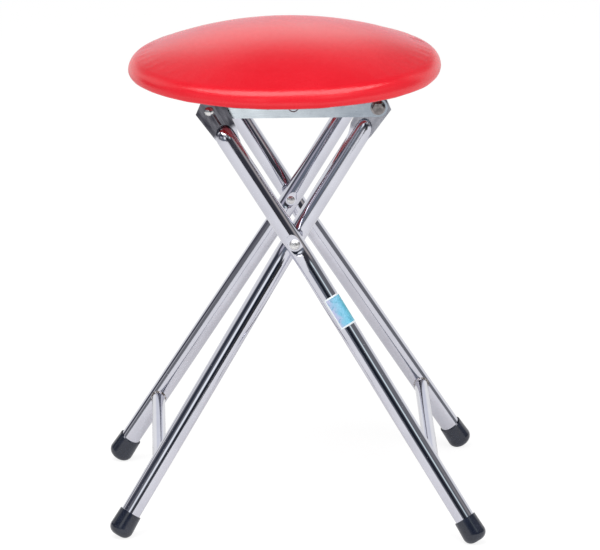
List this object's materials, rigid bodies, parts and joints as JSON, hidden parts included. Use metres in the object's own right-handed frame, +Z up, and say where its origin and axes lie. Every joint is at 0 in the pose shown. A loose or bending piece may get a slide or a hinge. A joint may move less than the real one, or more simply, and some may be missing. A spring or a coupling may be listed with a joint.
{
  "type": "folding stool",
  "caption": "Folding stool with crossed chromed tube legs and a round padded seat on hooked rails; the seat tips up as the legs close together.",
  "frame": {"origin": "on the floor, midway between the feet", "axes": "+Z up, +X across the crossed legs towards the seat's pivot side, -Y to the front"},
  "size_m": [0.3575, 0.3516, 0.4698],
  "materials": {
    "chrome_tube": "polished",
    "black_rubber": "matte",
    "bright_fastener": "gloss",
    "zinc_plate": "satin",
    "plywood": "matte",
    "seat_foam": "matte",
    "red_vinyl": "gloss"
  },
  "bodies": {
    "outer_frame": {"outer_front_leg": "chrome_tube", "outer_rear_leg": "chrome_tube", "outer_front_foot": "black_rubber", "outer_rear_foot": "black_rubber", "outer_stretcher": "chrome_tube", "front_cross_rivet": "bright_fastener", "rear_cross_rivet": "bright_fastener", "cross_washers": "bright_fastener", "front_hook_pin": "bright_fastener", "rear_hook_pin": "bright_fastener"},
    "inner_frame": {"inner_front_leg": "chrome_tube", "inner_rear_leg": "chrome_tube", "inner_front_foot": "black_rubber", "inner_rear_foot": "black_rubber", "inner_stretcher": "chrome_tube", "front_pivot_bolt": "bright_fastener", "rear_pivot_bolt": "bright_fastener", "front_pivot_nut": "bright_fastener", "rear_pivot_nut": "bright_fastener", "pivot_washers": "bright_fastener"},
    "seat": {"front_seat_rail": "zinc_plate", "rear_seat_rail": "zinc_plate", "rail_screws": "zinc_plate", "seat_board": "plywood", "seat_foam": "seat_foam", "seat_cover": "red_vinyl", "cover_staples": "zinc_plate"}
  },
  "joints": [
    {"name": "leg_fold", "type": "hinge", "parent": "outer_frame", "child": "inner_frame", "pos_m": [0, 0, 0.2793], "axis": [0, -1, 0], "range_deg": [0, 55]},
    {"name": "seat_tilt", "type": "hinge", "parent": "inner_frame", "child": "seat", "pos_m": [0.08016, 0, 0.40833], "axis": [0, 1, 0], "range_deg": [0, 105.3]}
  ],
  "couplings": [
    {"joint": "seat_tilt", "follows": "leg_fold", "ratio": 1.914}
  ]
}
